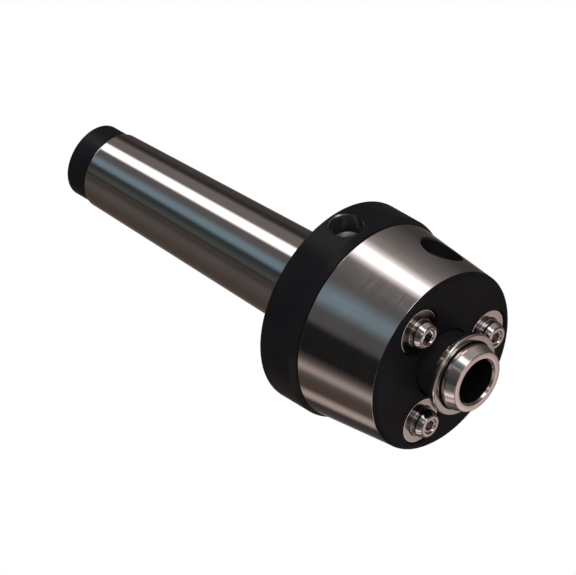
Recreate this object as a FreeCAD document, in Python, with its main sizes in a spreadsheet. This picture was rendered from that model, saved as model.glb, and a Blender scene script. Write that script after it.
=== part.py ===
import FreeCAD, Part
import math
import os
import re
import Sketcher
from FreeCAD import Placement, Rotation, Vector

# Face driver on a Morse taper 4 shank, in millimetres.
# The axis is X: the origin lies on it at the taper's gauge line, and +X points at the workpiece.

# Driving sizes, kept in the spreadsheet under these names
SIZES = {
    # Taper shank
    "gauge_dia": 31.267,  # Morse 4 diameter at the gauge line
    "taper_rate": 0.05194,  # change of diameter per length of taper
    "taper_back": 98.0,  # taper behind the gauge line
    "taper_edge": 1.0,  # bevel on the small end
    "collar_back": 9.5,  # gauge line to the threaded collar
    "collar_dia": 40.0,  # thread that carries the draw-off nut
    "collar_length": 8.7,  # length of that thread
    "undercut_dia": 37.6,  # run-out groove in front of the thread
    "flange_rim": 0.8,  # flange outside the heads of its screws
    "flange_thick": 7.1,  # thickness of the flange
    "spring_bore": 14.8,  # bore for the centre's spring
    "spring_bore_back": 38.0,  # its end behind the gauge line
    "front_bore_room": 0.55,  # gap round the stop ring in the front counterbore
    "front_bore_start": 14.5,  # its floor, before the gauge line
    "screw_bore": 12.1,  # thread for the preload screws
    "screw_bore_back": 64.0,  # its end behind the gauge line
    "relief_bore": 14.4,  # plain bore behind that thread
    # Rear end bush
    "bush_dia": 25.0,  # visible part behind the taper
    "bush_length": 9.3,  # length of the visible part
    "bush_bevel": 0.6,  # bevel on its back edge
    "spigot_dia": 20.0,  # threaded spigot in the shank
    "spigot_length": 14.0,  # length of the spigot
    "drawbar_bore": 13.8,  # core of the M16 drawbar thread
    # Draw-off nut
    "nut_offset": 4.5,  # gauge line to the nut's back face
    "nut_dia": 69.1,  # outside of the nut
    "nut_width": 15.1,  # width of the nut
    "nut_bevel_long": 2.1,  # front bevel along the axis
    "nut_bevel_deep": 1.15,  # front bevel across the axis
    "nut_back_bevel": 0.8,  # bevel on the back edge
    "nut_gap": 0.3,  # gap between nut and head
    "spanner_x": 11.4,  # gauge line to the spanner holes
    "spanner_dia": 10.4,  # pin spanner hole
    "spanner_depth": 7.2,  # depth of its straight wall
    "spanner_point": 2.4,  # depth of its drill point
    "spanner_sink": 0.7,  # countersink of its mouth
    "spanner_angle": 93.0,  # turn of the first hole from +Y
    "thrust_width": 5.0,  # width of the thrust ring
    "thrust_proud": 0.3,  # how far it stands behind the nut
    "thrust_dia": 48.0,  # outside of the thrust ring
    "thrust_step": 1.7,  # step down to its back lip
    "thrust_lip": 1.8,  # width of its back lip
    "thrust_bore": 32.4,  # bore of the thrust ring
    "snap_thick": 1.05,  # thickness of the snap ring
    "snap_room": 0.25,  # gap between the snap ring and the lip
    "snap_deep": 0.96,  # depth of the snap ring's groove
    "snap_gap": 7.0,  # gap between the snap ring's ends
    "key_pin_dia": 2.5,  # pin that keeps the thrust ring from turning
    "key_pin_radius": 18.0,  # axis to that pin
    "key_pin_length": 11.9,  # length of that pin
    "key_pin_sunk": 0.4,  # pin's end inside the thrust ring
    # Head
    "head_skirt": 4.85,  # wall of the large end round the flange
    "head_wall": 1.7,  # wall of the small end round the plate's spigot
    "head_length": 29.7,  # length of the ground cone
    "plate_seat_wall": 0.2,  # spigot of the front plate outside the pin recesses
    "plate_seat_deep": 5.0,  # depth of its recess
    "plate_lip": 0.2,  # straight edge of the front plate
    "plate_bevel": 1.0,  # bevel of the front plate
    "neck_room": 0.35,  # gap round the centre sleeve's neck
    "guide_wall": 2.2,  # wall of the centre's guide bush
    "gallery_inner": 32.0,  # inside of the oil gallery
    "gallery_outer": 37.2,  # outside of the oil gallery
    "gallery_deep": 1.4,  # depth of the oil gallery
    "feed_dia": 3.0,  # drilled oil passages
    "feed_radius": 17.3,  # axis to the oil passages
    # Filler port
    "port_x": 35.7,  # gauge line to the port
    "port_dia": 14.6,  # counterbore in the ground cone
    "port_floor": 24.0,  # axis to the floor of the counterbore
    "port_angle": 60.0,  # turn of the port from +Y
    "port_edge": 0.3,  # broken edge of the port
    "plug_dia": 10.0,  # thread of the plug
    "plug_end": 18.5,  # axis to the plug's inner end
    "plug_hole_end": 16.8,  # axis to the end of the threaded hole
    "plug_head_dia": 12.8,  # head of the plug
    "plug_head": 3.1,  # height of the plug's head
    "plug_washer": 1.2,  # sealing washer under the head
    "plug_washer_dia": 13.2,  # outside of that washer
    "plug_hex": 5.0,  # socket across flats
    # Drive pins
    "pin_pitch_radius": 20.2,  # axis to each pin
    "cylinder_floor": 29.9,  # gauge line to the floor of the cylinders
    "cylinder_dia": 13.2,  # cylinder of each pin's piston
    "liner_dia": 13.8,  # body of the pin bush
    "liner_start": 37.8,  # gauge line to the back of the pin bush
    "collar_disc_dia": 15.7,  # polished disc of the pin bush
    "disc_thick": 1.75,  # thickness of that disc
    "disc_bevel": 0.45,  # bevel of that disc
    "disc_sunk": 0.45,  # how far the disc lies below the face
    "disc_room": 0.15,  # gap round the disc
    "disc_mouth": 0.4,  # broken edge of the recess
    "piston_start": 31.6,  # gauge line to the back of the piston
    "piston_length": 4.5,  # length of the piston
    "piston_dia": 13.0,  # piston at the back of the pin
    "ring_groove_dia": 10.56,  # groove of the piston's ring
    "ring_groove_width": 1.7,  # width of that groove
    "stem_dia": 10.0,  # stem of the pin
    "stem_end": 51.1,  # gauge line to the end of the stem
    "neck_groove_dia": 8.9,  # groove in front of the stem
    "neck_groove": 0.35,  # width of that groove
    "nose_dia": 9.5,  # nose of the pin
    "nose_length": 1.4,  # straight part of the nose
    "cone_length": 1.9,  # cone of the nose
    "tip_dia": 7.4,  # flat tip of the pin
    "tip_sink_dia": 4.6,  # countersink in the tip
    "pin_hex": 3.0,  # puller socket across flats
    "pin_hex_deep": 4.0,  # depth of that socket
    # Centre sleeve
    "sleeve_start": 20.0,  # gauge line to the back of the sleeve
    "sleeve_stem_dia": 18.0,  # stem in the guide bush
    "sleeve_stem_end": 45.5,  # gauge line to the back of the neck
    "sleeve_neck_dia": 22.4,  # neck that passes the front plate
    "sleeve_flange_start": 57.6,  # gauge line to the flange
    "sleeve_flange_dia": 27.8,  # flange on the sleeve
    "sleeve_flange": 2.5,  # thickness of the flange
    "flange_round": 0.6,  # rounded edges of the flange
    "nose_groove_dia": 21.6,  # groove in front of the flange
    "nose_groove": 0.4,  # width of that groove
    "nose_body_dia": 22.6,  # straight part of the nose
    "nose_body": 1.5,  # length of that part
    "nose_cone": 3.4,  # length of the nose's cone
    "nose_tip_dia": 20.5,  # outside of the nose's face
    "nose_bore": 15.0,  # bore for the exchangeable centre
    "nose_bore_floor": 41.0,  # gauge line to the floor of the bore
    "nose_sink": 0.65,  # bevel of the bore's mouth
    "ejector_dia": 6.4,  # hole behind the bore
    "guide_start": 22.8,  # gauge line to the back of the guide bush
    "guide_end": 40.0,  # gauge line to its front
    "stop_thick": 1.2,  # stop ring on the sleeve
    "stop_groove": 0.7,  # depth of the stop ring's groove
    "stop_height": 1.7,  # how far the stop ring stands above the stem
    "stop_gap": 5.0,  # gap between the stop ring's ends
    "slide_key_dia": 4.0,  # pin in the sleeve's keyway
    "slide_key_x": 31.5,  # gauge line to that pin
    "slide_key_end": 7.5,  # axis to that pin's end
    "keyway_floor": 7.2,  # axis to the floor of the keyway
    "centre_travel": 5.0,  # how far the sleeve springs back
    # Centre spring
    "spring_wire": 2.0,  # wire of the spring
    "spring_mean": 10.6,  # mean diameter of the coils
    "spring_turns": 8.0,  # number of turns
    "spring_back": 34.0,  # its fixed end behind the gauge line
    "button_dia": 14.4,  # spring button behind the sleeve
    "button_thick": 2.0,  # thickness of the button
    "button_pilot_dia": 7.8,  # pilots inside the spring's ends
    "button_pilot": 4.0,  # length of those pilots
    "preload_length": 18.0,  # body of the preload screw
    "lock_length": 8.0,  # lock screw behind it
    "screw_hex": 6.0,  # sockets across flats
    # Fasteners and seals
    "bolt_radius": 24.0,  # axis to the flange screws and dowels
    "bolt_dia": 4.0,  # thread of the flange screws
    "bolt_depth": 9.0,  # holes for them in the head
    "bolt_reach": 8.2,  # length of them in the head
    "bolt_head_dia": 7.0,  # head of the flange screws
    "bolt_head": 4.0,  # height of that head
    "bolt_sunk": 0.3,  # head below the flange's back face
    "bolt_hex": 3.0,  # socket across flats
    "bolt_spread": 27.0,  # turn of each screw from the middle between two pins
    "dowel_dia": 4.0,  # dowel pins
    "dowel_reach": 4.6,  # length of them in the head
    "seal_inner_mean": 29.2,  # small gallery ring, mean diameter
    "seal_outer_mean": 40.4,  # large gallery ring, mean diameter
    "seal_groove_deep": 1.2,  # depth of the ring grooves
    "seal_groove_width": 1.4,  # width of the ring grooves
    "seal_section": 1.16,  # section of the gallery rings
    "piston_seal_mean": 11.84,  # piston ring, mean diameter
    "piston_seal_section": 1.24,  # section of the piston ring
    # Clearances
    "thread_play": 0.05,  # radial play of screwed fits
    "slide_play": 0.04,  # radial play of sliding fits
    "press_play": 0.02,  # radial play drawn at pressed and seated fits
    "hole_play": 0.2,  # radial play of screw clearance holes
    "end_play": 0.15,  # axial play of loose rings
}

PIN_COUNT = 3
SPANNER_HOLES = 2

doc = FreeCAD.newDocument("FaceDriver")
sheet = doc.addObject("Spreadsheet::Sheet", "Size")
for row, (alias, size) in enumerate(SIZES.items(), 1):
    sheet.set(f"A{row}", alias.replace("_", " "))
    sheet.set(f"B{row}", str(size))
    sheet.setAlias(f"B{row}", alias)
doc.recompute()

# Sizes and places along the axis that several pieces share
FLANGE_DIA = "(2 * (bolt_radius + bolt_head_dia / 2 + hole_play + flange_rim))"
THRUST_LIP_DIA = "(thrust_dia - 2 * thrust_step)"
SNAP_INNER = f"({THRUST_LIP_DIA} + 2 * snap_room)"
GUIDE_DIA = "(sleeve_stem_dia + 2 * guide_wall)"
STOP_GROOVE_DIA = "(sleeve_stem_dia - 2 * stop_groove)"
STOP_DIA = "(sleeve_stem_dia + 2 * stop_height)"
FRONT_BORE = f"({STOP_DIA} + 2 * front_bore_room)"
NECK_BORE = "(sleeve_neck_dia + 2 * neck_room)"
RECESS_RADIUS = "(collar_disc_dia / 2 + disc_room)"
PLATE_SEAT_DIA = f"(2 * (pin_pitch_radius + {RECESS_RADIUS} + disc_mouth + plate_seat_wall))"
HEAD_BACK_DIA = f"({FLANGE_DIA} + 2 * head_skirt)"
HEAD_FRONT_DIA = f"({PLATE_SEAT_DIA} + 2 * head_wall)"
NUT_FRONT = "(nut_offset + nut_width)"
HEAD_BACK = "(nut_offset + nut_width + nut_gap)"
SEAT = f"({HEAD_BACK} + flange_thick)"
HEAD_FRONT = f"({HEAD_BACK} + head_length)"
PLATE_BACK = f"({HEAD_FRONT} - plate_seat_deep)"
FACE = f"({HEAD_FRONT} + plate_lip + plate_bevel)"
DISC_FRONT = f"({FACE} - disc_sunk)"
DISC_BACK = f"({DISC_FRONT} - disc_thick)"
THRUST_BACK = "(nut_offset - thrust_proud)"
THRUST_FRONT = f"({THRUST_BACK} + thrust_width)"
SNAP_BACK = f"({THRUST_BACK} + thrust_lip - snap_thick - end_play)"
PISTON_FRONT = "(piston_start + piston_length)"
RING_MID = "(piston_start + piston_length / 2 + 0.2)"
STOP_BACK = "(guide_start - 0.2 - stop_thick)"
BUTTON_BACK = "(sleeve_start - button_thick)"
WASHER_TOP = "(port_floor + plug_washer)"


def bound(text):
    """Point every size name in an expression at the sheet."""
    return re.sub(r"[a-z]\w*", lambda word: ("Size." if word[0] in SIZES else "") + word[0], text)


def value(text):
    return float(sheet.evalExpression(bound(text)))


def taper_radius(place):
    return f"(gauge_dia / 2 + taper_rate / 2 * {place})"


def origin(body, role):
    return next(part for part in body.Origin.OriginFeatures if part.Role == role)


def new_body(label):
    body = doc.addObject("PartDesign::Body", label)
    body.Label = label
    return body


def new_sketch(body, name, plane="XY_Plane", turn="0"):
    """A sketch on one of the body's own planes, turned about the X axis."""
    sketch = body.newObject("Sketcher::SketchObject", name)
    sketch.AttachmentSupport = [(origin(body, plane), "")]
    sketch.MapMode = "FlatFace"
    if turn != "0":
        sketch.AttachmentOffset = Placement(Vector(), Rotation(Vector(1, 0, 0), value(turn)))
        sketch.setExpression("AttachmentOffset.Rotation.Angle", bound(turn))
    return sketch


def tie(sketch, geometry, end, x, y):
    """Hold one end of a line, or a circle's centre, at a place worked out from the sheet."""
    for kind, text in (("DistanceX", x), ("DistanceY", y)):
        held = Sketcher.Constraint(kind, -1, 1, geometry, end, value(text))
        index = sketch.addConstraint(held)
        sketch.setExpression(f"Constraints[{index}]", bound(text))


def draw_outline(sketch, outline):
    """A closed outline of straight lines through the given places."""
    spots = [Vector(value(x), value(y), 0) for x, y in outline]
    lines = [Part.LineSegment(a, b) for a, b in zip(spots, spots[1:] + spots[:1])]
    ids = sketch.addGeometry(lines, False)
    for k, (x, y) in enumerate(outline):
        sketch.addConstraint(Sketcher.Constraint("Coincident", ids[k - 1], 2, ids[k], 1))
        tie(sketch, ids[k], 1, x, y)


def draw_circle(sketch, x, y, radius):
    ring = Part.Circle(Vector(value(x), value(y), 0), Vector(0, 0, 1), value(radius))
    circle = sketch.addGeometry(ring, False)
    tie(sketch, circle, 3, x, y)
    index = sketch.addConstraint(Sketcher.Constraint("Radius", circle, value(radius)))
    sketch.setExpression(f"Constraints[{index}]", bound(radius))


def draw_axis(sketch, start, end):
    """A construction line that a groove turns about."""
    places = [Vector(value(x), value(y), 0) for x, y in (start, end)]
    line = sketch.addGeometry(Part.LineSegment(*places), True)
    tie(sketch, line, 1, *start)
    tie(sketch, line, 2, *end)


def draw_hexagon(sketch, x, y, flats):
    """A socket's hexagon with two of its flats level."""
    spots = []
    for k in range(6):
        spots.append((f"{x} + {flats} / sqrt(3) * cos({60 * k})", f"{y} + {flats} / sqrt(3) * sin({60 * k})"))
    draw_outline(sketch, spots)


def turn(body, *outlines):
    """Turn outlines of (place, radius) about the X axis into a solid."""
    sketch = new_sketch(body, "Outline")
    for outline in outlines:
        draw_outline(sketch, outline)
    turned = body.newObject("PartDesign::Revolution", "Turned")
    turned.Profile = sketch
    turned.ReferenceAxis = (sketch, ["H_Axis"])
    turned.Angle = 360
    return turned


def repeat(body, feature, count):
    """Copies of a feature, evenly spaced about the X axis."""
    pattern = body.newObject("PartDesign::PolarPattern", feature.Name + "Pattern")
    pattern.Originals = [feature]
    pattern.Axis = (origin(body, "X_Axis"), [""])
    pattern.Angle = 360
    pattern.Occurrences = count
    body.Tip = pattern
    return pattern


def cut_hole(body, name, steps, axis_radius, angle="0"):
    """A stepped hole parallel to X: steps are (place, radius) of its wall."""
    sketch = new_sketch(body, name + "Outline", turn=angle)
    outline = [(x, f"{axis_radius} + {radius}") for x, radius in steps]
    outline = [(steps[0][0], axis_radius)] + outline + [(steps[-1][0], axis_radius)]
    draw_outline(sketch, outline)
    draw_axis(sketch, (steps[0][0], axis_radius), (steps[-1][0], axis_radius))
    hole = body.newObject("PartDesign::Groove", name)
    hole.Profile = sketch
    hole.ReferenceAxis = (sketch, ["Axis0"])
    hole.Angle = 360
    return hole


def cut_radial_hole(body, name, steps, place, angle):
    """A stepped hole that points at the axis: steps are (distance from the X axis, radius)."""
    sketch = new_sketch(body, name + "Outline", turn=angle)
    outline = [(f"{place} + {radius}", y) for y, radius in steps]
    outline = [(place, steps[0][0])] + outline + [(place, steps[-1][0])]
    draw_outline(sketch, outline)
    draw_axis(sketch, (place, steps[0][0]), (place, steps[-1][0]))
    hole = body.newObject("PartDesign::Groove", name)
    hole.Profile = sketch
    hole.ReferenceAxis = (sketch, ["Axis0"])
    hole.Angle = 360
    return hole


def cut_socket(body, name, place, deep, flats, forward):
    """A hexagon socket on the X axis, from a place towards +X or towards -X."""
    sketch = new_sketch(body, name + "Hexagon", plane="YZ_Plane")
    sketch.AttachmentOffset = Placement(Vector(0, 0, value(place)), Rotation())
    sketch.setExpression("AttachmentOffset.Base.z", bound(place))
    draw_hexagon(sketch, "0", "0", flats)
    socket = body.newObject("PartDesign::Pocket", name)
    socket.Profile = sketch
    socket.Length = value(deep)
    socket.setExpression("Length", bound(deep))
    socket.Reversed = forward
    return socket


def make_round_ring(label, place, mean, section):
    """A sealing ring of round section."""
    body = new_body(label)
    sketch = new_sketch(body, "Section")
    draw_circle(sketch, place, f"{mean} / 2", f"{section} / 2")
    turned = body.newObject("PartDesign::Revolution", "Turned")
    turned.Profile = sketch
    turned.ReferenceAxis = (sketch, ["H_Axis"])
    turned.Angle = 360
    return body


def cut_ring_gap(body, back, front, inner, outer, width):
    """Open a turned ring at its lowest point."""
    sketch = new_sketch(body, "GapOutline", turn="-90")
    draw_outline(sketch, [(back, inner), (front, inner), (front, outer), (back, outer)])
    gap = body.newObject("PartDesign::Pocket", "Gap")
    gap.Profile = sketch
    gap.Midplane = True
    gap.Length = value(width)
    gap.setExpression("Length", bound(width))


# Ground taper with its threaded collar and the flange that carries the head
def make_taper_shank():
    body = new_body("taper_shank")
    back = "(-taper_back)"
    bevel = f"({back} + taper_edge)"
    collar_end = "(collar_back + collar_length)"
    bush_seat = "(-taper_back + spigot_length)"
    thread = "(collar_dia / 2)"
    turn(body, [
        (back, f"{taper_radius(bevel)} - taper_edge * 0.7"),
        (bevel, taper_radius(bevel)),
        ("collar_back", taper_radius("collar_back")),
        ("collar_back", f"{thread} - 0.6"),
        ("collar_back + 0.6", thread),
        (collar_end, thread),
        (collar_end, "undercut_dia / 2"),
        (HEAD_BACK, "undercut_dia / 2"),
        (HEAD_BACK, f"{FLANGE_DIA} / 2"),
        (SEAT, f"{FLANGE_DIA} / 2"),
        (SEAT, f"{FRONT_BORE} / 2"),
        ("front_bore_start", f"{FRONT_BORE} / 2"),
        ("front_bore_start", "spring_bore / 2"),
        ("-spring_bore_back", "spring_bore / 2"),
        ("-spring_bore_back", "screw_bore / 2"),
        ("-screw_bore_back", "screw_bore / 2"),
        ("-screw_bore_back", "relief_bore / 2"),
        (bush_seat, "relief_bore / 2"),
        (bush_seat, "spigot_dia / 2"),
        (back, "spigot_dia / 2"),
    ])
    for name, mean in (("InnerRingGroove", "seal_inner_mean"), ("OuterRingGroove", "seal_outer_mean")):
        sketch = new_sketch(body, name + "Outline")
        low = f"({mean} - seal_groove_width) / 2"
        high = f"({mean} + seal_groove_width) / 2"
        floor = f"{SEAT} - seal_groove_deep"
        draw_outline(sketch, [(floor, low), (SEAT, low), (SEAT, high), (floor, high)])
        groove = body.newObject("PartDesign::Groove", name)
        groove.Profile = sketch
        groove.ReferenceAxis = (sketch, ["H_Axis"])
        groove.Angle = 360
    head_floor = f"{HEAD_BACK} + bolt_sunk + bolt_head"
    for name, side in (("ScrewHole", "-1"), ("OtherScrewHole", "1")):
        hole = cut_hole(body, name, [
            (HEAD_BACK, "bolt_head_dia / 2 + hole_play"),
            (head_floor, "bolt_head_dia / 2 + hole_play"),
            (head_floor, "bolt_dia / 2 + hole_play"),
            (SEAT, "bolt_dia / 2 + hole_play"),
        ], "bolt_radius", f"port_angle + {side} * bolt_spread")
        repeat(body, hole, PIN_COUNT)
    for name, angle in (("DowelHole", "port_angle + 120"), ("OtherDowelHole", "port_angle + 240")):
        hole = cut_hole(body, name, [
            (HEAD_BACK, "dowel_dia / 2 + press_play"),
            (SEAT, "dowel_dia / 2 + press_play"),
        ], "bolt_radius", angle)
        body.Tip = hole
    key_end = f"{THRUST_BACK} + key_pin_sunk + key_pin_length"
    body.Tip = cut_hole(body, "KeyPinHole", [
        ("collar_back - 0.1", "key_pin_dia / 2 + press_play"),
        (key_end, "key_pin_dia / 2 + press_play"),
    ], "key_pin_radius", "270")
    return body


# Black bush screwed into the small end, with the thread for the drawbar
def make_rear_end_bush():
    body = new_body("rear_end_bush")
    back = "(-taper_back - bush_length)"
    spigot_end = "(-taper_back + spigot_length - 0.2)"
    spigot = "(spigot_dia / 2 - thread_play)"
    turn(body, [
        (back, "drawbar_bore / 2 + 1.1"),
        (back, "bush_dia / 2 - bush_bevel"),
        (f"{back} + bush_bevel", "bush_dia / 2"),
        ("-taper_back", "bush_dia / 2"),
        ("-taper_back", spigot),
        (spigot_end, spigot),
        (spigot_end, "drawbar_bore / 2"),
        (f"{back} + 1.1", "drawbar_bore / 2"),
    ])
    return body


# Ground conical head with the pin cylinders, the oil gallery and the filler port
def make_head_housing():
    body = new_body("head_housing")
    shoulder = "guide_end"
    turn(body, [
        (HEAD_BACK, f"{HEAD_BACK_DIA} / 2 - 0.3"),
        (f"{HEAD_BACK} + 0.3", f"{HEAD_BACK_DIA} / 2"),
        (HEAD_FRONT, f"{HEAD_FRONT_DIA} / 2"),
        (HEAD_FRONT, f"{PLATE_SEAT_DIA} / 2 + thread_play"),
        (PLATE_BACK, f"{PLATE_SEAT_DIA} / 2 + thread_play"),
        (PLATE_BACK, f"{NECK_BORE} / 2"),
        (shoulder, f"{NECK_BORE} / 2"),
        (shoulder, f"{GUIDE_DIA} / 2"),
        (SEAT, f"{GUIDE_DIA} / 2"),
        (SEAT, "gallery_inner / 2"),
        (f"{SEAT} + gallery_deep", "gallery_inner / 2"),
        (f"{SEAT} + gallery_deep", "gallery_outer / 2"),
        (SEAT, "gallery_outer / 2"),
        (SEAT, f"{FLANGE_DIA} / 2 + thread_play"),
        (HEAD_BACK, f"{FLANGE_DIA} / 2 + thread_play"),
    ])
    cylinder = cut_hole(body, "PinCylinder", [
        ("cylinder_floor", "cylinder_dia / 2"),
        ("liner_start", "cylinder_dia / 2"),
        ("liner_start", "liner_dia / 2 + press_play"),
        (PLATE_BACK, "liner_dia / 2 + press_play"),
    ], "pin_pitch_radius")
    repeat(body, cylinder, PIN_COUNT)
    feed = cut_hole(body, "CylinderFeed", [
        (f"{SEAT} + gallery_deep - 0.1", "feed_dia / 2"),
        ("cylinder_floor + 0.1", "feed_dia / 2"),
    ], "feed_radius")
    repeat(body, feed, PIN_COUNT)
    for name, side in (("ScrewHole", "-1"), ("OtherScrewHole", "1")):
        hole = cut_hole(body, name, [
            (SEAT, "bolt_dia / 2 + thread_play"),
            (f"{SEAT} + bolt_depth", "bolt_dia / 2 + thread_play"),
        ], "bolt_radius", f"port_angle + {side} * bolt_spread")
        repeat(body, hole, PIN_COUNT)
    for name, angle in (("DowelHole", "port_angle + 120"), ("OtherDowelHole", "port_angle + 240")):
        body.Tip = cut_hole(body, name, [
            (SEAT, "dowel_dia / 2 + press_play"),
            (f"{SEAT} + dowel_reach + 0.3", "dowel_dia / 2 + press_play"),
        ], "bolt_radius", angle)
    body.Tip = cut_hole(body, "PortFeed", [
        (f"{SEAT} + gallery_deep - 0.1", "feed_dia / 2"),
        ("port_x", "feed_dia / 2"),
    ], "feed_radius", "port_angle")
    body.Tip = cut_radial_hole(body, "Port", [
        ("plug_hole_end", "plug_dia / 2 + thread_play"),
        ("port_floor", "plug_dia / 2 + thread_play"),
        ("port_floor", "port_dia / 2"),
        (f"{HEAD_BACK_DIA} / 2", "port_dia / 2"),
    ], "port_x", "port_angle")
    return body


# Black front plate, screwed into the head by its spigot
def make_front_plate():
    body = new_body("front_plate")
    turn(body, [
        (PLATE_BACK, f"{NECK_BORE} / 2"),
        (PLATE_BACK, f"{PLATE_SEAT_DIA} / 2"),
        (HEAD_FRONT, f"{PLATE_SEAT_DIA} / 2"),
        (HEAD_FRONT, f"{HEAD_FRONT_DIA} / 2"),
        (f"{HEAD_FRONT} + plate_lip", f"{HEAD_FRONT_DIA} / 2"),
        (FACE, f"{HEAD_FRONT_DIA} / 2 - plate_bevel"),
        (FACE, f"{NECK_BORE} / 2"),
    ])
    hole = cut_hole(body, "PinHole", [
        (PLATE_BACK, "liner_dia / 2 + press_play"),
        (DISC_BACK, "liner_dia / 2 + press_play"),
        (DISC_BACK, RECESS_RADIUS),
        (f"{FACE} - disc_mouth", RECESS_RADIUS),
        (FACE, f"{RECESS_RADIUS} + disc_mouth"),
    ], "pin_pitch_radius")
    repeat(body, hole, PIN_COUNT)
    return body


def place_at_pin(body, number):
    """Move a piece modelled on the X axis to its drive pin's axis."""
    angle = 360 * number / PIN_COUNT
    body.Placement = Placement(Vector(), Rotation())
    body.setExpression("Placement.Base.y", bound(f"pin_pitch_radius * cos({angle})"))
    body.setExpression("Placement.Base.z", bound(f"pin_pitch_radius * sin({angle})"))


# Hardened guide bush of one drive pin, with the polished disc that shows in the plate
def make_pin_bush(number):
    body = new_body(f"pin_bush_{number + 1}")
    bore = "(stem_dia / 2 + slide_play)"
    turn(body, [
        ("liner_start", bore),
        ("liner_start", "liner_dia / 2 - 0.4"),
        ("liner_start + 0.4", "liner_dia / 2"),
        (DISC_BACK, "liner_dia / 2"),
        (DISC_BACK, "collar_disc_dia / 2"),
        (f"{DISC_FRONT} - disc_bevel", "collar_disc_dia / 2"),
        (DISC_FRONT, "collar_disc_dia / 2 - disc_bevel"),
        (DISC_FRONT, f"{bore} + 0.3"),
        (f"{DISC_FRONT} - 0.3", bore),
    ])
    place_at_pin(body, number)


# One drive pin: piston, stem, grooved neck and conical driving nose
def make_drive_pin(number):
    body = new_body(f"drive_pin_{number + 1}")
    groove_back = f"({RING_MID} - ring_groove_width / 2)"
    groove_front = f"({RING_MID} + ring_groove_width / 2)"
    neck_end = "(stem_end + neck_groove)"
    cone_start = f"({neck_end} + nose_length)"
    tip = f"({cone_start} + cone_length)"
    sink = "((tip_sink_dia - pin_hex) / 2)"
    turn(body, [
        ("piston_start", "0"),
        ("piston_start", "piston_dia / 2 - 0.4"),
        ("piston_start + 0.4", "piston_dia / 2"),
        (groove_back, "piston_dia / 2"),
        (groove_back, "ring_groove_dia / 2"),
        (groove_front, "ring_groove_dia / 2"),
        (groove_front, "piston_dia / 2"),
        (PISTON_FRONT, "piston_dia / 2"),
        (PISTON_FRONT, "stem_dia / 2"),
        ("stem_end - 0.25", "stem_dia / 2"),
        ("stem_end", "stem_dia / 2 - 0.25"),
        ("stem_end", "neck_groove_dia / 2"),
        (neck_end, "neck_groove_dia / 2"),
        (f"{neck_end} + 0.1", "nose_dia / 2"),
        (cone_start, "nose_dia / 2"),
        (tip, "tip_dia / 2"),
        (tip, "tip_sink_dia / 2"),
        (f"{tip} - {sink}", "pin_hex / 2"),
        (f"{tip} - {sink}", "0"),
    ])
    cut_socket(body, "PullerSocket", f"{tip} - {sink}", "pin_hex_deep", "pin_hex", False)
    place_at_pin(body, number)


def make_piston_seal(number):
    body = make_round_ring(f"piston_seal_{number + 1}", RING_MID, "piston_seal_mean", "piston_seal_section")
    place_at_pin(body, number)


# Centre sleeve: stem, neck, rounded flange and bevelled nose with the centre's bore
def make_centre_sleeve():
    body = new_body("centre_sleeve")
    flange_end = "(sleeve_flange_start + sleeve_flange)"
    nose_start = f"({flange_end} + nose_groove)"
    cone_start = f"({nose_start} + nose_body)"
    nose_end = f"({cone_start} + nose_cone)"
    stop_front = f"({STOP_BACK} + stop_thick + 0.05)"
    sleeve = turn(body, [
        ("sleeve_start", "ejector_dia / 2"),
        ("sleeve_start", "sleeve_stem_dia / 2 - 0.4"),
        ("sleeve_start + 0.4", "sleeve_stem_dia / 2"),
        (f"{STOP_BACK} - 0.05", "sleeve_stem_dia / 2"),
        (f"{STOP_BACK} - 0.05", f"{STOP_GROOVE_DIA} / 2"),
        (stop_front, f"{STOP_GROOVE_DIA} / 2"),
        (stop_front, "sleeve_stem_dia / 2"),
        ("sleeve_stem_end", "sleeve_stem_dia / 2"),
        ("sleeve_stem_end", "sleeve_neck_dia / 2 - 0.3"),
        ("sleeve_stem_end + 0.3", "sleeve_neck_dia / 2"),
        ("sleeve_flange_start", "sleeve_neck_dia / 2"),
        ("sleeve_flange_start", "sleeve_flange_dia / 2"),
        (flange_end, "sleeve_flange_dia / 2"),
        (flange_end, "nose_groove_dia / 2"),
        (nose_start, "nose_groove_dia / 2"),
        (nose_start, "nose_body_dia / 2"),
        (cone_start, "nose_body_dia / 2"),
        (nose_end, "nose_tip_dia / 2"),
        (nose_end, "nose_bore / 2 + nose_sink"),
        (f"{nose_end} - nose_sink", "nose_bore / 2"),
        ("nose_bore_floor", "nose_bore / 2"),
        ("nose_bore_floor", "ejector_dia / 2"),
    ])
    doc.recompute()
    rim = value("sleeve_flange_dia / 2")
    edges = []
    for number, edge in enumerate(body.Shape.Edges, 1):
        curve = edge.Curve
        if isinstance(curve, Part.Circle) and math.isclose(curve.Radius, rim):
            edges.append(f"Edge{number}")
    rounded = body.newObject("PartDesign::Fillet", "FlangeRounds")
    rounded.Base = (sleeve, edges)
    rounded.Radius = value("flange_round")
    rounded.setExpression("Radius", bound("flange_round"))
    keyway = new_sketch(body, "KeywayOutline", plane="XZ_Plane")
    back = "(slide_key_x - slide_key_dia / 2 - 0.2)"
    front = "(slide_key_x + slide_key_dia / 2 + centre_travel + 0.2)"
    half = "(slide_key_dia / 2 + slide_play)"
    draw_outline(keyway, [(back, f"-{half}"), (front, f"-{half}"), (front, half), (back, half)])
    keyway.AttachmentOffset = Placement(Vector(0, 0, value("keyway_floor")), Rotation())
    keyway.setExpression("AttachmentOffset.Base.z", bound("keyway_floor"))
    slot = body.newObject("PartDesign::Pocket", "Keyway")
    slot.Profile = keyway
    slot.Length = value("sleeve_stem_dia")
    slot.setExpression("Length", bound("sleeve_stem_dia"))
    slot.Reversed = True
    return body


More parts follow.
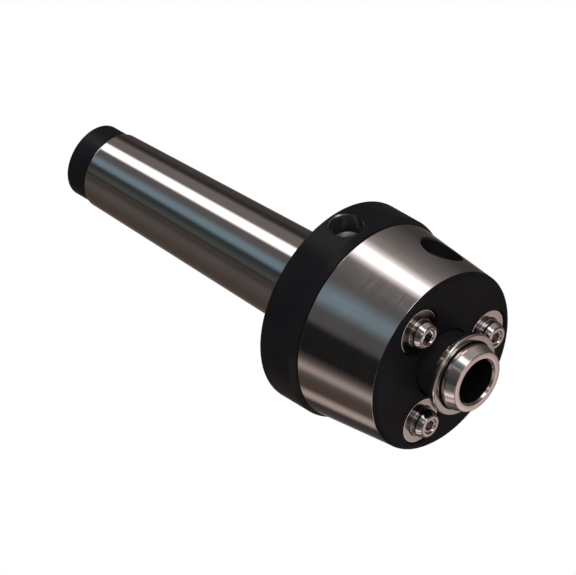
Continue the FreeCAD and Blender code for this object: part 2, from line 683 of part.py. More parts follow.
# Bronze bush that the sleeve slides in; it also centres the head on the shank
def make_centre_guide_bush():
    body = new_body("centre_guide_bush")
    bore = "(sleeve_stem_dia / 2 + slide_play)"
    outside = f"({GUIDE_DIA} / 2 - press_play)"
    turn(body, [
        ("guide_start", f"{bore} + 0.3"),
        ("guide_start", f"{outside} - 0.4"),
        ("guide_start + 0.4", outside),
        ("guide_end", outside),
        ("guide_end", f"{bore} + 0.3"),
        ("guide_end - 0.3", bore),
        ("guide_start + 0.3", bore),
    ])
    body.Tip = cut_radial_hole(body, "KeyHole", [
        ("slide_key_end", "slide_key_dia / 2 + press_play"),
        (f"{GUIDE_DIA} / 2 + 1", "slide_key_dia / 2 + press_play"),
    ], "slide_key_x", "180")


def make_slide_key():
    body = new_body("slide_key")
    turn(body, [
        ("slide_key_end", "0"),
        ("slide_key_end", "slide_key_dia / 2 - 0.3"),
        ("slide_key_end + 0.3", "slide_key_dia / 2"),
        (f"{GUIDE_DIA} / 2 - 0.3", "slide_key_dia / 2"),
        (f"{GUIDE_DIA} / 2 - 0.3", "0"),
    ])
    body.Placement = Placement(Vector(value("slide_key_x"), 0, 0), Rotation(Vector(0, 0, 1), -90))
    body.setExpression("Placement.Base.x", bound("slide_key_x"))


def make_sleeve_stop_ring():
    body = new_body("sleeve_stop_ring")
    front = f"({STOP_BACK} + stop_thick)"
    inner = f"({STOP_GROOVE_DIA} / 2 + press_play)"
    turn(body, [(STOP_BACK, inner), (STOP_BACK, f"{STOP_DIA} / 2"), (front, f"{STOP_DIA} / 2"), (front, inner)])
    cut_ring_gap(body, f"{STOP_BACK} - 1", f"{front} + 1", f"{inner} - 1", f"{STOP_DIA} / 2 + 1", "stop_gap")


# Compression spring with its coils drawn by a helix
def make_centre_spring():
    body = new_body("centre_spring")
    start = "(-spring_back + spring_wire / 2)"
    reach = f"({BUTTON_BACK} + spring_back - spring_wire)"
    sketch = new_sketch(body, "Wire")
    draw_circle(sketch, start, "spring_mean / 2", "spring_wire / 2")
    coil = body.newObject("PartDesign::AdditiveHelix", "Coil")
    coil.Profile = sketch
    coil.ReferenceAxis = (sketch, ["H_Axis"])
    coil.Mode = "height-turns-angle"
    coil.Height = value(reach)
    coil.setExpression("Height", bound(reach))
    coil.Turns = value("spring_turns")
    coil.setExpression("Turns", bound("spring_turns"))
    coil.Angle = 0
    coil.Reversed = False
    return body


def make_spring_button():
    body = new_body("spring_button")
    turn(body, [
        (f"{BUTTON_BACK} - button_pilot", "0"),
        (f"{BUTTON_BACK} - button_pilot", "button_pilot_dia / 2 - 0.5"),
        (f"{BUTTON_BACK} - button_pilot + 0.5", "button_pilot_dia / 2"),
        (BUTTON_BACK, "button_pilot_dia / 2"),
        (BUTTON_BACK, "button_dia / 2"),
        ("sleeve_start", "button_dia / 2"),
        ("sleeve_start", "0"),
    ])


def make_preload_screw():
    body = new_body("preload_screw")
    front = "(-spring_back)"
    back = f"({front} - preload_length)"
    radius = "(screw_bore / 2 - thread_play)"
    turn(body, [
        (back, "0"),
        (back, f"{radius} - 0.5"),
        (f"{back} + 0.5", radius),
        (f"{front} - 0.8", radius),
        (front, f"{radius} - 0.8"),
        (front, "button_pilot_dia / 2"),
        (f"{front} + button_pilot - 0.5", "button_pilot_dia / 2"),
        (f"{front} + button_pilot", "button_pilot_dia / 2 - 0.5"),
        (f"{front} + button_pilot", "0"),
    ])
    cut_socket(body, "Socket", back, "screw_hex", "screw_hex", True)


def make_lock_screw():
    body = new_body("lock_screw")
    front = "(-spring_back - preload_length - 0.2)"
    back = f"({front} - lock_length)"
    radius = "(screw_bore / 2 - thread_play)"
    turn(body, [
        (back, "0"),
        (back, f"{radius} - 0.5"),
        (f"{back} + 0.5", radius),
        (f"{front} - 0.5", radius),
        (front, f"{radius} - 0.5"),
        (front, "0"),
    ])
    cut_socket(body, "Socket", back, "lock_length", "screw_hex", True)


# Black draw-off nut with two blind spanner holes and the recess for its thrust ring
def make_draw_off_nut():
    body = new_body("draw_off_nut")
    thread = "(collar_dia / 2 + thread_play)"
    recess = "(thrust_dia / 2 + slide_play)"
    floor = f"({THRUST_FRONT} + end_play)"
    groove_back = f"({SNAP_BACK} - 0.05)"
    groove_front = f"({SNAP_BACK} + snap_thick + 0.05)"
    turn(body, [
        ("nut_offset", recess),
        ("nut_offset", "nut_dia / 2 - nut_back_bevel"),
        ("nut_offset + nut_back_bevel", "nut_dia / 2"),
        (f"{NUT_FRONT} - nut_bevel_long", "nut_dia / 2"),
        (NUT_FRONT, "nut_dia / 2 - nut_bevel_deep"),
        (NUT_FRONT, f"{thread} + 0.8"),
        (f"{NUT_FRONT} - 0.8", thread),
        (floor, thread),
        (floor, recess),
        (groove_front, recess),
        (groove_front, f"{recess} + snap_deep"),
        (groove_back, f"{recess} + snap_deep"),
        (groove_back, recess),
    ])
    rim = "nut_dia / 2"
    hole = cut_radial_hole(body, "SpannerHole", [
        (f"{rim} - spanner_depth - spanner_point", "0.01"),
        (f"{rim} - spanner_depth", "spanner_dia / 2"),
        (f"{rim} - 1.1", "spanner_dia / 2"),
        (f"{rim} - 1.1 + spanner_sink * 2", "spanner_dia / 2 + spanner_sink * 2"),
        (f"{rim} + 1", "spanner_dia / 2 + spanner_sink * 2"),
    ], "spanner_x", "spanner_angle")
    repeat(body, hole, SPANNER_HOLES)


# Keyed ring that pushes on the spindle while the nut turns behind it
def make_thrust_ring():
    body = new_body("thrust_ring")
    lip_end = f"({THRUST_BACK} + thrust_lip)"
    turn(body, [
        (THRUST_BACK, "thrust_bore / 2"),
        (THRUST_BACK, f"{THRUST_LIP_DIA} / 2 - 0.4"),
        (f"{THRUST_BACK} + 0.4", f"{THRUST_LIP_DIA} / 2"),
        (lip_end, f"{THRUST_LIP_DIA} / 2"),
        (lip_end, "thrust_dia / 2"),
        (THRUST_FRONT, "thrust_dia / 2"),
        (THRUST_FRONT, "thrust_bore / 2"),
    ])
    body.Tip = cut_hole(body, "KeyHole", [
        (THRUST_BACK, "key_pin_dia / 2 + slide_play"),
        (THRUST_FRONT, "key_pin_dia / 2 + slide_play"),
    ], "key_pin_radius", "270")


def make_thrust_snap_ring():
    body = new_body("thrust_snap_ring")
    front = f"({SNAP_BACK} + snap_thick)"
    outer = "(thrust_dia / 2 + slide_play + snap_deep - press_play)"
    inner = f"({SNAP_INNER} / 2)"
    turn(body, [(SNAP_BACK, inner), (SNAP_BACK, outer), (front, outer), (front, inner)])
    cut_ring_gap(body, f"{SNAP_BACK} - 1", f"{front} + 1", f"{inner} - 1", f"{outer} + 1", "snap_gap")


def make_thrust_key_pin():
    body = new_body("thrust_key_pin")
    back = f"({THRUST_BACK} + key_pin_sunk)"
    front = f"({back} + key_pin_length)"
    turn(body, [
        (back, "0"),
        (back, "key_pin_dia / 2 - 0.3"),
        (f"{back} + 0.3", "key_pin_dia / 2"),
        (front, "key_pin_dia / 2"),
        (front, "0"),
    ])
    body.Placement = Placement(Vector(), Rotation())
    body.setExpression("Placement.Base.z", bound("-key_pin_radius"))


# Socket plug of the filler port and the washer under its head
def place_in_port(body):
    """Turn a piece modelled along X so that it points out of the port."""
    upright = Rotation(Vector(0, 0, 1), 90)
    tilted = Rotation(Vector(1, 0, 0), value("port_angle"))
    body.Placement = Placement(Vector(value("port_x"), 0, 0), tilted * upright)
    body.setExpression("Placement.Base.x", bound("port_x"))


def make_filler_plug():
    body = new_body("filler_plug")
    top = f"({WASHER_TOP} + plug_head)"
    turn(body, [
        ("plug_end", "0"),
        ("plug_end", "plug_dia / 2 - 0.6"),
        ("plug_end + 0.6", "plug_dia / 2"),
        (WASHER_TOP, "plug_dia / 2"),
        (WASHER_TOP, "plug_head_dia / 2"),
        (f"{top} - 0.4", "plug_head_dia / 2"),
        (top, "plug_head_dia / 2 - 0.4"),
        (top, "0"),
    ])
    cut_socket(body, "Socket", top, "plug_hex", "plug_hex", False)
    place_in_port(body)


def make_plug_washer():
    body = new_body("plug_washer")
    inner = "(plug_dia / 2 + hole_play)"
    outer = "(plug_washer_dia / 2)"
    turn(body, [("port_floor", inner), ("port_floor", outer), (WASHER_TOP, outer), (WASHER_TOP, inner)])
    place_in_port(body)


# Two oil seals between the flange and the head, joined in one node
def make_gallery_seals():
    middle = f"({SEAT} - seal_groove_deep / 2)"
    body = new_body("gallery_seals")
    sketch = new_sketch(body, "Sections")
    for mean in ("seal_inner_mean", "seal_outer_mean"):
        draw_circle(sketch, middle, f"{mean} / 2", "seal_section / 2")
    turned = body.newObject("PartDesign::Revolution", "Turned")
    turned.Profile = sketch
    turned.ReferenceAxis = (sketch, ["H_Axis"])
    turned.Angle = 360


def gather(label, solids):
    """One node made of like solids that stay separate."""
    group = doc.addObject("Part::Feature", label)
    group.Label = label
    group.Shape = Part.Compound(solids)
    return group


def around(solid, angle):
    copy = solid.copy()
    copy.rotate(Vector(), Vector(1, 0, 0), angle)
    return copy


# Six socket head screws that hold the head on the flange
def make_flange_screws():
    back = value(f"{HEAD_BACK} + bolt_sunk")
    head = value("bolt_head")
    radius = value("bolt_radius")
    along = Vector(1, 0, 0)
    start = Vector(back, radius, 0)
    screw = Part.makeCylinder(value("bolt_head_dia / 2"), head, start, along)
    shaft_length = value(f"{SEAT} + bolt_reach") - back - head
    shaft = Part.makeCylinder(value("bolt_dia / 2"), shaft_length, start + along * head, along)
    corner = value("bolt_hex / sqrt(3)")
    spots = [start + Rotation(along, 60 * k).multVec(Vector(0, corner, 0)) for k in range(7)]
    socket = Part.Face(Part.makePolygon(spots)).extrude(along * (head / 2))
    screw = screw.fuse(shaft).cut(socket).removeSplitter()
    angles = [value("port_angle") + 360 / PIN_COUNT * k for k in range(PIN_COUNT)]
    spread = value("bolt_spread")
    gather("flange_screws", [around(screw, a + s) for a in angles for s in (-spread, spread)])


# Two dowels that take the torque between flange and head
def make_flange_dowels():
    back = value(f"{HEAD_BACK} + bolt_sunk")
    length = value(f"{SEAT} + dowel_reach") - back
    start = Vector(back, value("bolt_radius"), 0)
    dowel = Part.makeCylinder(value("dowel_dia / 2"), length, start, Vector(1, 0, 0))
    turns = [value("port_angle") + 360 / PIN_COUNT * k for k in range(1, PIN_COUNT)]
    gather("flange_dowels", [around(dowel, turn_by) for turn_by in turns])


make_taper_shank()
make_rear_end_bush()
make_head_housing()
make_front_plate()
for number in range(PIN_COUNT):
    make_pin_bush(number)
    make_drive_pin(number)
    make_piston_seal(number)
make_centre_sleeve()
make_centre_guide_bush()
make_slide_key()
make_sleeve_stop_ring()
make_centre_spring()
make_spring_button()
make_preload_screw()
make_lock_screw()
make_draw_off_nut()
make_thrust_ring()
make_thrust_snap_ring()
make_thrust_key_pin()
make_filler_plug()
make_plug_washer()
make_gallery_seals()
make_flange_screws()
make_flange_dowels()

doc.recompute()
for part in doc.Objects:
    faults = {"Invalid", "Error"}.intersection(part.State)
    if faults:
        raise RuntimeError(f"{part.Label} is {faults}")

nodes = [part for part in doc.Objects if part.isDerivedFrom("PartDesign::Body") or part.TypeId == "Part::Feature"]
nodes = [part for part in nodes if part.Label[0].islower()]
os.makedirs("parts", exist_ok=True)
for node in nodes:
    if node.Shape.isNull() or not node.Shape.isValid():
        raise RuntimeError(f"{node.Label} has no valid shape")
for node in nodes:
    node.Shape.exportStep(f"parts/{node.Label}.step")
    print(f"{node.Label:22s} solids {len(node.Shape.Solids)}  volume {node.Shape.Volume:9.1f}")
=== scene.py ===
import math

import bmesh
import bpy
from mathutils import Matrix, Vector


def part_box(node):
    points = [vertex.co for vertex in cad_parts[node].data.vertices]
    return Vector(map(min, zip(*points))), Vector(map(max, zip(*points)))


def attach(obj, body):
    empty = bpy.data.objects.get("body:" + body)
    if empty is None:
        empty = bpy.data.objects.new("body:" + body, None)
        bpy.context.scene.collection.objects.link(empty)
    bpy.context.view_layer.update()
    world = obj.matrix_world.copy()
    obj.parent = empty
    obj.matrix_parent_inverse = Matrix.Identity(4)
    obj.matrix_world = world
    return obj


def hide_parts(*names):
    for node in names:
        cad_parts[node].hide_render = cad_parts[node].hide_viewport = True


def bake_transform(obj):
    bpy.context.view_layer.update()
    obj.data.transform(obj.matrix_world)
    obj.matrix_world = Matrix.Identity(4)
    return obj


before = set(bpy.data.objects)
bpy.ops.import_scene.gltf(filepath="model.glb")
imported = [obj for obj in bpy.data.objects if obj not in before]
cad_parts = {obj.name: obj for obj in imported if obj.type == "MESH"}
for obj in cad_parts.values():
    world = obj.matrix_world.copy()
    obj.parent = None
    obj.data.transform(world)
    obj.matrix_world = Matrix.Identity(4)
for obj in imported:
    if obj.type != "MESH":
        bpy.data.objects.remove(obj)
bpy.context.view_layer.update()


# Camera: a long lens from the front left and above, at the photograph's angle.
# It is rolled by the small turn that the photographed part has about its own axis.
camera_data = bpy.data.cameras.new("camera")
camera_data.lens = 317.99
camera_data.sensor_width = 36.0
camera_data.clip_end = 20.0
camera = bpy.data.objects.new("camera", camera_data)
camera.location = (0.914057, -0.892887, 0.983313)
camera.rotation_euler = [math.radians(turn) for turn in (52.498518, 1.695160, 44.919354)]
bpy.context.scene.collection.objects.link(camera)
bpy.context.scene.camera = camera


# Studio: a white room for the eye, and what the polished steel sees in it.
# Round the driver's axis stand a bright strip lamp above, a cool panel, dark gaps and a warm floor.
# What stands there changes along the axis, from behind the shank to in front of the flat faces.
bpy.context.scene.view_settings.view_transform = "Standard"

# Colours of what stands round the driver
STRIP = (1, 1, 1)
SOFT_EDGE = (0.6, 0.53, 0.52)
ROSE_PANEL = (0.42, 0.342, 0.322)
ROSE_WALL = (0.28, 0.215, 0.20)
LIGHT_WALL = (0.20, 0.178, 0.168)
WARM_WALL = (0.11, 0.093, 0.088)
COOL_PANEL = (0.116, 0.154, 0.181)
GREY_WALL = (0.07, 0.066, 0.065)
SHADED_WALL = (0.053, 0.05, 0.049)
UMBER_WALL = (0.060, 0.050, 0.047)
MOSS_WALL = (0.044, 0.046, 0.041)
BROWN_FLOOR = (0.047, 0.033, 0.027)
DIM_WALL = (0.038, 0.031, 0.028)
DARK_GAP = (0.022, 0.026, 0.028)
UMBER_GAP = (0.021, 0.019, 0.017)
BLACK_GAP = (0.006, 0.0055, 0.0053)

# Where each stands, in degrees from +Y towards +Z, in four stretches along the axis
BEHIND_THE_SHANK = (
    (-180, DIM_WALL),
    (-171, DIM_WALL),
    (-160, UMBER_WALL),
    (-150, UMBER_WALL),
    (-118, BROWN_FLOOR),
    (-92, BROWN_FLOOR),
    (-68, GREY_WALL),
    (-56, ROSE_WALL),
    (-44, LIGHT_WALL),
    (-34, WARM_WALL),
    (-24, DIM_WALL),
    (6, DIM_WALL),
    (15, UMBER_GAP),
    (28, UMBER_GAP),
    (33, UMBER_WALL),
    (40, WARM_WALL),
    (66, WARM_WALL),
    (70, SOFT_EDGE),
    (73, STRIP),
    (92, STRIP),
    (94, SOFT_EDGE),
    (98, GREY_WALL),
    (114, GREY_WALL),
    (127, COOL_PANEL),
    (136, COOL_PANEL),
    (146, DARK_GAP),
    (153, DARK_GAP),
    (163, MOSS_WALL),
    (168, MOSS_WALL),
    (174, UMBER_GAP),
    (178, DIM_WALL),
)
BESIDE_THE_HEAD = (
    (-180, BLACK_GAP),
    (-162, BLACK_GAP),
    (-154, UMBER_WALL),
    (-144, ROSE_WALL),
    (-136, UMBER_WALL),
    (-128, BROWN_FLOOR),
    (-115, BROWN_FLOOR),
    (-107, ROSE_WALL),
    (-101, ROSE_WALL),
    (-93, UMBER_GAP),
    (-60, DARK_GAP),
    (6, DIM_WALL),
    (26, GREY_WALL),
    (40, WARM_WALL),
    (55, LIGHT_WALL),
    (62, SOFT_EDGE),
    (65, STRIP),
    (78, STRIP),
    (80, SOFT_EDGE),
    (86, WARM_WALL),
    (95, UMBER_WALL),
    (116, GREY_WALL),
    (129, COOL_PANEL),
    (137, COOL_PANEL),
    (148, SHADED_WALL),
    (162, SHADED_WALL),
    (168, BLACK_GAP),
)
AROUND_THE_NOSE = (
    (-180, SHADED_WALL),
    (-160, GREY_WALL),
    (-150, ROSE_WALL),
    (-145, SOFT_EDGE),
    (-140, SOFT_EDGE),
    (-134, GREY_WALL),
    (-127, ROSE_PANEL),
    (-119, ROSE_PANEL),
    (-112, SHADED_WALL),
    (-85, GREY_WALL),
    (-50, LIGHT_WALL),
    (-28, GREY_WALL),
    (6, DIM_WALL),
    (28, WARM_WALL),
    (46, LIGHT_WALL),
    (84, LIGHT_WALL),
    (92, STRIP),
    (101, STRIP),
    (107, COOL_PANEL),
    (122, SHADED_WALL),
    (128, LIGHT_WALL),
    (134, SHADED_WALL),
    (166, DARK_GAP),
)
IN_FRONT = (
    (-180, SHADED_WALL),
    (-154, LIGHT_WALL),
    (-140, LIGHT_WALL),
    (-125, SHADED_WALL),
    (-66, LIGHT_WALL),
    (-52, ROSE_PANEL),
    (-45, ROSE_WALL),
    (-20, DIM_WALL),
    (40, DIM_WALL),
    (68, WARM_WALL),
    (76, STRIP),
    (96, STRIP),
    (104, WARM_WALL),
    (121, GREY_WALL),
    (128, ROSE_PANEL),
    (137, ROSE_PANEL),
    (145, SHADED_WALL),
    (168, DIM_WALL),
)


# Sockets of a mix node that is set to colours
FIRST_COLOUR = 6
SECOND_COLOUR = 7
MIXED_COLOUR = 2


def connect(links, *pairs):
    """Join outputs to inputs, given in pairs."""
    for start, end in pairs:
        links.new(start, end)


def panels_round(nodes, panels):
    """A ramp of panels against the angle round the axis."""
    ramp = nodes.new("ShaderNodeValToRGB")
    stops = ramp.color_ramp.elements
    stops.remove(stops[1])
    for number, (degrees, colour) in enumerate(panels):
        stop = stops.new((degrees + 180) / 360) if number else stops[0]
        stop.color = (*colour, 1)
    return ramp


studio = bpy.data.worlds.new("studio")
bpy.context.scene.world = studio
studio.use_nodes = True
nodes = studio.node_tree.nodes
links = studio.node_tree.links
nodes.clear()
direction = nodes.new("ShaderNodeTexCoord")
parts = nodes.new("ShaderNodeSeparateXYZ")
angle = nodes.new("ShaderNodeMath")
angle.operation = "ARCTAN2"
whole_turn = nodes.new("ShaderNodeMapRange")
whole_turn.inputs["From Min"].default_value = -math.pi
whole_turn.inputs["From Max"].default_value = math.pi
connect(
    links,
    (direction.outputs["Generated"], parts.inputs[0]),
    (parts.outputs["Z"], angle.inputs[0]),
    (parts.outputs["Y"], angle.inputs[1]),
    (angle.outputs[0], whole_turn.inputs["Value"]),
)
ramp = panels_round(nodes, BEHIND_THE_SHANK)
links.new(whole_turn.outputs[0], ramp.inputs["Fac"])
seen = ramp.outputs["Color"]
# Each stretch takes over between two values of a direction's x, which runs from -1 behind to 1 in front
for panels, begin, full in (
    (BESIDE_THE_HEAD, -0.57, -0.5),
    (AROUND_THE_NOSE, -0.37, -0.29),
    (IN_FRONT, 0.42, 0.48),
):
    ramp = panels_round(nodes, panels)
    forward = nodes.new("ShaderNodeMapRange")
    forward.inputs["From Min"].default_value = begin
    forward.inputs["From Max"].default_value = full
    stretch = nodes.new("ShaderNodeMix")
    stretch.data_type = "RGBA"
    connect(
        links,
        (whole_turn.outputs[0], ramp.inputs["Fac"]),
        (parts.outputs["X"], forward.inputs["Value"]),
        (forward.outputs[0], stretch.inputs[0]),
        (seen, stretch.inputs[FIRST_COLOUR]),
        (ramp.outputs["Color"], stretch.inputs[SECOND_COLOUR]),
    )
    seen = stretch.outputs[MIXED_COLOUR]
glossy_light = nodes.new("ShaderNodeBackground")
glossy_light.inputs["Strength"].default_value = 2.0
plain_light = nodes.new("ShaderNodeBackground")
plain_light.inputs["Color"].default_value = (1.0, 0.99, 0.98, 1)
plain_light.inputs["Strength"].default_value = 0.7
white = nodes.new("ShaderNodeBackground")
white.inputs["Color"].default_value = (1, 1, 1, 1)
ray = nodes.new("ShaderNodeLightPath")
by_gloss = nodes.new("ShaderNodeMixShader")
by_eye = nodes.new("ShaderNodeMixShader")
output = nodes.new("ShaderNodeOutputWorld")
connect(
    links,
    (seen, glossy_light.inputs["Color"]),
    (ray.outputs["Is Glossy Ray"], by_gloss.inputs[0]),
    (plain_light.outputs[0], by_gloss.inputs[1]),
    (glossy_light.outputs[0], by_gloss.inputs[2]),
    (ray.outputs["Is Camera Ray"], by_eye.inputs[0]),
    (by_gloss.outputs[0], by_eye.inputs[1]),
    (white.outputs[0], by_eye.inputs[2]),
    (by_eye.outputs[0], output.inputs["Surface"]),
)


# Floor: a wide white sheet well below the driver, seen through from underneath.
# It is white to the eye and lights the driver softly from below.
bpy.ops.object.select_all(action="DESELECT")
bpy.ops.mesh.primitive_plane_add(size=30, location=(0, 0, -0.6))
floor = bpy.context.object
floor.name = "floor"
floor.visible_glossy = False
paper = bpy.data.materials.new("white_paper")
paper.use_nodes = True
nodes = paper.node_tree.nodes
links = paper.node_tree.links
nodes.clear()
sheet = nodes.new("ShaderNodeBsdfDiffuse")
sheet.inputs["Color"].default_value = (0.8, 0.8, 0.8, 1)
bright = nodes.new("ShaderNodeEmission")
clear = nodes.new("ShaderNodeBsdfTransparent")
ray = nodes.new("ShaderNodeLightPath")
side = nodes.new("ShaderNodeNewGeometry")
by_eye = nodes.new("ShaderNodeMixShader")
by_side = nodes.new("ShaderNodeMixShader")
output = nodes.new("ShaderNodeOutputMaterial")
connect(
    links,
    (ray.outputs["Is Camera Ray"], by_eye.inputs[0]),
    (sheet.outputs[0], by_eye.inputs[1]),
    (bright.outputs[0], by_eye.inputs[2]),
    (side.outputs["Backfacing"], by_side.inputs[0]),
    (by_eye.outputs[0], by_side.inputs[1]),
    (clear.outputs[0], by_side.inputs[2]),
    (by_side.outputs[0], output.inputs["Surface"]),
)
floor.data.materials.append(paper)


# Lamp: one wide soft box above and in front, for the black parts.
# The polished steel doesn't mirror it, because the studio's panels are what it mirrors.
soft_box = bpy.data.lights.new("soft_box", "AREA")
soft_box.size = 0.9
soft_box.energy = 6.0
soft_lamp = bpy.data.objects.new("soft_box", soft_box)
lamp_place = Vector((0.5, -0.2, 1.3))
soft_lamp.location = lamp_place
soft_lamp.rotation_euler = lamp_place.to_track_quat("Z", "Y").to_euler()
soft_lamp.visible_glossy = False
bpy.context.scene.collection.objects.link(soft_lamp)


# Taper shank: one piece of case-hardened steel, turned and then ground to the Morse taper.
# Its collar and flange are inside the nut and the head; grinding leaves fine rings round the axis.

# Corners this close in mm are one, edges flatter than this look smooth, and tool marks are this high in m
SAME_SPOT = 0.001
SMOOTH_BELOW = math.radians(26)
BUMP_HEIGHT = 0.0002


def pick(piece):
    """Select this piece alone and make it the active one."""
    bpy.ops.object.select_all(action="DESELECT")
    piece.select_set(True)
    bpy.context.view_layer.objects.active = piece


def drawn(name, corners):
    """Draw a closed section through its corners, x and radius in mm, and round those that name a radius."""
    bpy.ops.object.select_all(action="DESELECT")
    bpy.ops.mesh.primitive_plane_add(size=1, enter_editmode=True)
    bpy.context.object.name = name
    bpy.ops.mesh.merge(type="CENTER")
    bpy.ops.transform.translate(value=(corners[0][0], 0, corners[0][1]))
    for here, there in zip(corners, corners[1:]):
        step = (there[0] - here[0], 0, there[1] - here[1])
        bpy.ops.mesh.extrude_region_move(TRANSFORM_OT_translate={"value": step})
    draft = bmesh.from_edit_mesh(bpy.context.object.data)
    if corners[0][1] > 0:
        ends = [spot for spot in draft.verts if len(spot.link_edges) == 1]
        for spot in draft.verts:
            spot.select_set(spot in ends)
        bpy.ops.mesh.edge_face_add()
    for rounding in sorted({corner[2] for corner in corners if len(corner) > 2}):
        chosen = [corner for corner in corners if len(corner) > 2 and corner[2] == rounding]
        bpy.ops.mesh.select_all(action="DESELECT")
        draft = bmesh.from_edit_mesh(bpy.context.object.data)
        for spot in draft.verts:
            for x, radius, _ in chosen:
                if abs(spot.co.x - x) < SAME_SPOT and abs(spot.co.z - radius) < SAME_SPOT:
                    spot.select_set(True)
        bpy.ops.mesh.bevel(offset=rounding, segments=4, affect="VERTICES")
    return bpy.context.object


def turned(name, corners, steps, axis=(0, 0)):
    """Spin a section round an axis along X, at a place given in mm, as on a lathe."""
    piece = drawn(name, corners)
    bpy.ops.mesh.select_all(action="SELECT")
    bpy.ops.mesh.spin(steps=steps, angle=math.tau, center=(0, 0, 0), axis=(1, 0, 0))
    bpy.ops.mesh.select_all(action="SELECT")
    bpy.ops.mesh.remove_doubles(threshold=1e-4)
    bpy.ops.mesh.normals_make_consistent(inside=False)
    bpy.ops.transform.translate(value=(0, *axis))
    bpy.ops.object.mode_set(mode="OBJECT")
    bpy.ops.object.transform_apply()
    return piece


def finished(piece, *materials):
    """Bring a piece drawn in mm to its real size, and give it its materials and clean shading."""
    for finish in materials:
        piece.data.materials.append(finish)
    pick(piece)
    piece.scale = (0.001, 0.001, 0.001)
    bpy.ops.object.transform_apply()
    bpy.ops.object.shade_smooth_by_angle(angle=SMOOTH_BELOW)
    smooth = piece.modifiers.new("flat_faces", "WEIGHTED_NORMAL")
    smooth.keep_sharp = True
    bpy.ops.object.modifier_apply(modifier=smooth.name)


def socket_list(group, inputs, outputs):
    """Open a node group's inputs and outputs: name, kind, starting value."""
    for name, kind, start in inputs:
        socket = group.interface.new_socket(name, in_out="INPUT", socket_type=kind)
        socket.default_value = start
    for name, kind in outputs:
        group.interface.new_socket(name, in_out="OUTPUT", socket_type=kind)


# Rings left by turning and grinding, round any axis that runs along X
tool_rings = bpy.data.node_groups.new("tool_rings", "ShaderNodeTree")
socket_list(
    tool_rings,
    [
        ("Axis", "NodeSocketVector", (0, 0, 0)),
        ("Rings", "NodeSocketFloat", 4000.0),
        ("Along", "NodeSocketFloat", 30.0),
    ],
    [("Height", "NodeSocketFloat"), ("Cloud", "NodeSocketFloat")],
)
nodes = tool_rings.nodes
links = tool_rings.links
given = nodes.new("NodeGroupInput")
result = nodes.new("NodeGroupOutput")
place = nodes.new("ShaderNodeTexCoord")
centred = nodes.new("ShaderNodeVectorMath")
centred.operation = "SUBTRACT"
across = nodes.new("ShaderNodeVectorMath")
across.operation = "MULTIPLY"
across.inputs[1].default_value = (0, 1, 1)
radius = nodes.new("ShaderNodeVectorMath")
radius.operation = "LENGTH"
along = nodes.new("ShaderNodeSeparateXYZ")
both = nodes.new("ShaderNodeCombineXYZ")
fine = nodes.new("ShaderNodeVectorMath")
fine.operation = "SCALE"
slow = nodes.new("ShaderNodeVectorMath")
slow.operation = "SCALE"
sum_up = nodes.new("ShaderNodeVectorMath")
sum_up.operation = "ADD"
rings = nodes.new("ShaderNodeTexNoise")
rings.inputs["Scale"].default_value = 1.0
rings.inputs["Detail"].default_value = 3.0
cloud = nodes.new("ShaderNodeTexNoise")
cloud.inputs["Scale"].default_value = 55.0
cloud.inputs["Detail"].default_value = 4.0
connect(
    links,
    (place.outputs["Object"], centred.inputs[0]),
    (given.outputs["Axis"], centred.inputs[1]),
    (centred.outputs[0], across.inputs[0]),
    (across.outputs[0], radius.inputs[0]),
    (centred.outputs[0], along.inputs[0]),
    (along.outputs["X"], both.inputs["X"]),
    (radius.outputs["Value"], both.inputs["Y"]),
    (both.outputs[0], fine.inputs[0]),
    (given.outputs["Rings"], fine.inputs["Scale"]),
    (centred.outputs[0], slow.inputs[0]),
    (given.outputs["Along"], slow.inputs["Scale"]),
    (fine.outputs[0], sum_up.inputs[0]),
    (slow.outputs[0], sum_up.inputs[1]),
    (sum_up.outputs[0], rings.inputs["Vector"]),
    (centred.outputs[0], cloud.inputs["Vector"]),
    (rings.outputs["Fac"], result.inputs["Height"]),
    (cloud.outputs["Fac"], result.inputs["Cloud"]),
)


def between(nodes, low, high, start=0.3, end=0.7):
    """A number that follows a noise between two values."""
    spread = nodes.new("ShaderNodeMapRange")
    spread.inputs["From Min"].default_value = start
    spread.inputs["From Max"].default_value = end
    spread.inputs["To Min"].default_value = low
    spread.inputs["To Max"].default_value = high
    return spread


def tool_marked(name, tones, rough, rough_follows, rings, depth, axis=(0, 0)):
    """A finish with two clouded tones, fine rings and a range of roughness, and its surface node."""
    finish = bpy.data.materials.new(name)
    finish.use_nodes = True
    nodes = finish.node_tree.nodes
    surface = nodes["Principled BSDF"]
    marks = nodes.new("ShaderNodeGroup")
    marks.node_tree = tool_rings
    marks.inputs["Axis"].default_value = (0, axis[0] / 1000, axis[1] / 1000)
    marks.inputs["Rings"].default_value = rings
    tone = nodes.new("ShaderNodeMix")
    tone.data_type = "RGBA"
    tone.inputs[FIRST_COLOUR].default_value = (*tones[0], 1)
    tone.inputs[SECOND_COLOUR].default_value = (*tones[1], 1)
    shade = between(nodes, 0.0, 1.0)
    gloss = between(nodes, *rough)
    bump = nodes.new("ShaderNodeBump")
    bump.inputs["Strength"].default_value = depth
    bump.inputs["Distance"].default_value = BUMP_HEIGHT
    connect(
        finish.node_tree.links,
        (marks.outputs["Cloud"], shade.inputs["Value"]),
        (shade.outputs[0], tone.inputs[0]),
        (tone.outputs[MIXED_COLOUR], surface.inputs["Base Color"]),
        (marks.outputs[rough_follows], gloss.inputs["Value"]),
        (gloss.outputs[0], surface.inputs["Roughness"]),
        (marks.outputs["Height"], bump.inputs["Height"]),
        (bump.outputs[0], surface.inputs["Normal"]),
    )
    return finish, surface


def metal(name, dark, light, rough, rings=4000.0, depth=0.02, axis=(0, 0), shiny=1.0):
    """Bare metal with tool rings, between two tones of its colour."""
    finish, surface = tool_marked(name, (dark, light), rough, "Height", rings, depth, axis)
    surface.inputs["Metallic"].default_value = shiny
    return finish


